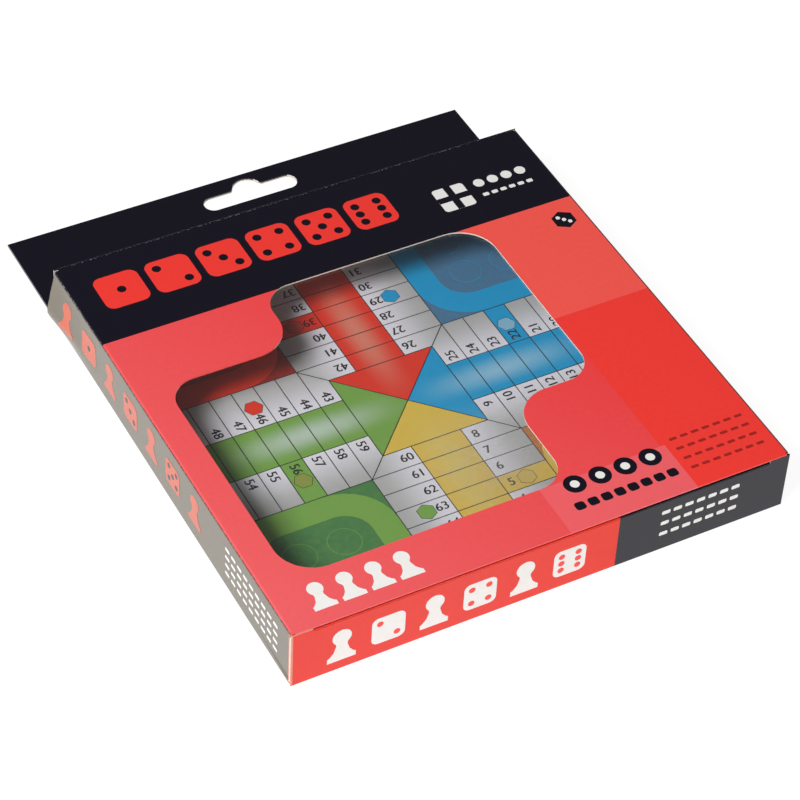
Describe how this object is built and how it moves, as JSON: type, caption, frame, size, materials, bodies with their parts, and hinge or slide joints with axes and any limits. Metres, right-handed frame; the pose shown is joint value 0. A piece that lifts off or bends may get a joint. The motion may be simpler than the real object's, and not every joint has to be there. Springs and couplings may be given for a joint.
{
  "type": "magnetic parcheesi game",
  "caption": "Travel board game in a flat hanging carton with a stepped window, tuck closures at both ends, a steel-backed board, magnetic counters and a die.",
  "frame": {"origin": "middle of the carton's back panel, on its outer face, hang tab left out", "axes": "+X to the right across the front, +Y towards the hang tab, +Z out of the front panel"},
  "size_m": [0.169, 0.2115, 0.0225],
  "materials": {
    "printed_card": "printed and gloss varnished folding box board",
    "clear_film": "clear polyester film",
    "greyboard": "raw greyboard",
    "tinplate": "rolled tinplate",
    "printed_paper": "offset printed and laminated",
    "plain_paper": "uncoated paper",
    "ivory_plastic": "moulded, polished",
    "ferrite": "sintered ferrite magnet",
    "red_plastic": "moulded polystyrene",
    "blue_plastic": "moulded polystyrene",
    "yellow_plastic": "moulded polystyrene",
    "green_plastic": "moulded polystyrene"
  },
  "bodies": {
    "carton": {"front_panel": "printed_card", "window_film": "clear_film", "left_side_panel": "printed_card", "right_side_panel": "printed_card", "glue_flap": "printed_card", "back_panel": "printed_card", "hang_tab_front_ply": "printed_card"},
    "booklet": {"rules_cover": "plain_paper", "rules_pages": "plain_paper"},
    "board": {"board_core": "greyboard", "steel_sheet": "tinplate", "playing_sheet": "printed_paper", "backing_sheet": "plain_paper"},
    "bottom_closure": {"bottom_closure_panel": "printed_card"},
    "bottom_lip": {"bottom_tuck_lip": "printed_card"},
    "bottom_left_flap": {"bottom_left_dust_flap": "printed_card"},
    "bottom_right_flap": {"bottom_right_dust_flap": "printed_card"},
    "top_closure": {"top_closure_panel": "printed_card"},
    "top_lip": {"top_tuck_lip": "printed_card"},
    "top_left_flap": {"top_left_dust_flap": "printed_card"},
    "top_right_flap": {"top_right_dust_flap": "printed_card"},
    "red_counter_1": {"counter_red_1": "red_plastic", "magnet_red_1": "ferrite"},
    "red_counter_2": {"counter_red_2": "red_plastic", "magnet_red_2": "ferrite"},
    "red_counter_3": {"counter_red_3": "red_plastic", "magnet_red_3": "ferrite"},
    "red_counter_4": {"counter_red_4": "red_plastic", "magnet_red_4": "ferrite"},
    "blue_counter_1": {"counter_blue_1": "blue_plastic", "magnet_blue_1": "ferrite"},
    "blue_counter_2": {"counter_blue_2": "blue_plastic", "magnet_blue_2": "ferrite"},
    "blue_counter_3": {"counter_blue_3": "blue_plastic", "magnet_blue_3": "ferrite"},
    "blue_counter_4": {"counter_blue_4": "blue_plastic", "magnet_blue_4": "ferrite"},
    "yellow_counter_1": {"counter_yellow_1": "yellow_plastic", "magnet_yellow_1": "ferrite"},
    "yellow_counter_2": {"counter_yellow_2": "yellow_plastic", "magnet_yellow_2": "ferrite"},
    "yellow_counter_3": {"counter_yellow_3": "yellow_plastic", "magnet_yellow_3": "ferrite"},
    "yellow_counter_4": {"counter_yellow_4": "yellow_plastic", "magnet_yellow_4": "ferrite"},
    "green_counter_1": {"counter_green_1": "green_plastic", "magnet_green_1": "ferrite"},
    "green_counter_2": {"counter_green_2": "green_plastic", "magnet_green_2": "ferrite"},
    "green_counter_3": {"counter_green_3": "green_plastic", "magnet_green_3": "ferrite"},
    "green_counter_4": {"counter_green_4": "green_plastic", "magnet_green_4": "ferrite"},
    "loose_die": {"die": "ivory_plastic"}
  },
  "joints": [
    {"name": "bottom_closure_hinge", "type": "hinge", "parent": "carton", "child": "bottom_closure", "pos_m": [0, -0.08525, 0.00025], "axis": [1, 0, 0], "range_deg": [0, 90]},
    {"name": "bottom_lip_fold", "type": "hinge", "parent": "bottom_closure", "child": "bottom_lip", "pos_m": [0, -0.08525, 0.021], "axis": [1, 0, 0], "range_deg": [-49.5, 0]},
    {"name": "bottom_left_flap_spring", "type": "hinge", "parent": "carton", "child": "bottom_left_flap", "pos_m": [-0.08425, -0.0847, 0.011], "axis": [0, 0, -1], "range_deg": [0, 13.5]},
    {"name": "bottom_right_flap_spring", "type": "hinge", "parent": "carton", "child": "bottom_right_flap", "pos_m": [0.08425, -0.0847, 0.011], "axis": [0, 0, 1], "range_deg": [0, 13.5]},
    {"name": "top_closure_hinge", "type": "hinge", "parent": "carton", "child": "top_closure", "pos_m": [0, 0.08525, 0.02225], "axis": [1, 0, 0], "range_deg": [0, 90]},
    {"name": "top_lip_fold", "type": "hinge", "parent": "top_closure", "child": "top_lip", "pos_m": [0, 0.08525, 0.0015], "axis": [1, 0, 0], "range_deg": [-49.5, 0]},
    {"name": "top_left_flap_spring", "type": "hinge", "parent": "carton", "child": "top_left_flap", "pos_m": [-0.08425, 0.0847, 0.011], "axis": [0, 0, 1], "range_deg": [0, 13.5]},
    {"name": "top_right_flap_spring", "type": "hinge", "parent": "carton", "child": "top_right_flap", "pos_m": [0.08425, 0.0847, 0.011], "axis": [0, 0, -1], "range_deg": [0, 13.5]},
    {"name": "board_slide", "type": "slide", "parent": "carton", "child": "board", "axis": [0, 1, 0], "range_m": [-0.0046, 0.0034]},
    {"name": "booklet_slide", "type": "slide", "parent": "carton", "child": "booklet", "axis": [0, 1, 0], "range_m": [-0.014, 0.0035]},
    {"name": "red_counter_1_lift", "type": "slide", "parent": "board", "child": "red_counter_1", "axis": [0, 0, 1], "range_m": [0, 0.009]},
    {"name": "red_counter_2_lift", "type": "slide", "parent": "board", "child": "red_counter_2", "axis": [0, 0, 1], "range_m": [0, 0.009]},
    {"name": "red_counter_3_lift", "type": "slide", "parent": "board", "child": "red_counter_3", "axis": [0, 0, 1], "range_m": [0, 0.009]},
    {"name": "red_counter_4_lift", "type": "slide", "parent": "board", "child": "red_counter_4", "axis": [0, 0, 1], "range_m": [0, 0.009]},
    {"name": "blue_counter_1_lift", "type": "slide", "parent": "board", "child": "blue_counter_1", "axis": [0, 0, 1], "range_m": [0, 0.009]},
    {"name": "blue_counter_2_lift", "type": "slide", "parent": "board", "child": "blue_counter_2", "axis": [0, 0, 1], "range_m": [0, 0.009]},
    {"name": "blue_counter_3_lift", "type": "slide", "parent": "board", "child": "blue_counter_3", "axis": [0, 0, 1], "range_m": [0, 0.009]},
    {"name": "blue_counter_4_lift", "type": "slide", "parent": "board", "child": "blue_counter_4", "axis": [0, 0, 1], "range_m": [0, 0.009]},
    {"name": "yellow_counter_1_lift", "type": "slide", "parent": "board", "child": "yellow_counter_1", "axis": [0, 0, 1], "range_m": [0, 0.009]},
    {"name": "yellow_counter_2_lift", "type": "slide", "parent": "board", "child": "yellow_counter_2", "axis": [0, 0, 1], "range_m": [0, 0.009]},
    {"name": "yellow_counter_3_lift", "type": "slide", "parent": "board", "child": "yellow_counter_3", "axis": [0, 0, 1], "range_m": [0, 0.009]},
    {"name": "yellow_counter_4_lift", "type": "slide", "parent": "board", "child": "yellow_counter_4", "axis": [0, 0, 1], "range_m": [0, 0.009]},
    {"name": "green_counter_1_lift", "type": "slide", "parent": "board", "child": "green_counter_1", "axis": [0, 0, 1], "range_m": [0, 0.009]},
    {"name": "green_counter_2_lift", "type": "slide", "parent": "board", "child": "green_counter_2", "axis": [0, 0, 1], "range_m": [0, 0.009]},
    {"name": "green_counter_3_lift", "type": "slide", "parent": "board", "child": "green_counter_3", "axis": [0, 0, 1], "range_m": [0, 0.009]},
    {"name": "green_counter_4_lift", "type": "slide", "parent": "board", "child": "green_counter_4", "axis": [0, 0, 1], "range_m": [0, 0.009]},
    {"name": "die_lift", "type": "slide", "parent": "board", "child": "loose_die", "axis": [0, 0, 1], "range_m": [0, 0.0085]}
  ],
  "couplings": [
    {"joint": "bottom_lip_fold", "follows": "bottom_closure_hinge", "ratio": -0.55},
    {"joint": "bottom_left_flap_spring", "follows": "bottom_closure_hinge", "ratio": 0.15},
    {"joint": "bottom_right_flap_spring", "follows": "bottom_closure_hinge", "ratio": 0.15},
    {"joint": "top_lip_fold", "follows": "top_closure_hinge", "ratio": -0.55},
    {"joint": "top_left_flap_spring", "follows": "top_closure_hinge", "ratio": 0.15},
    {"joint": "top_right_flap_spring", "follows": "top_closure_hinge", "ratio": 0.15}
  ]
}
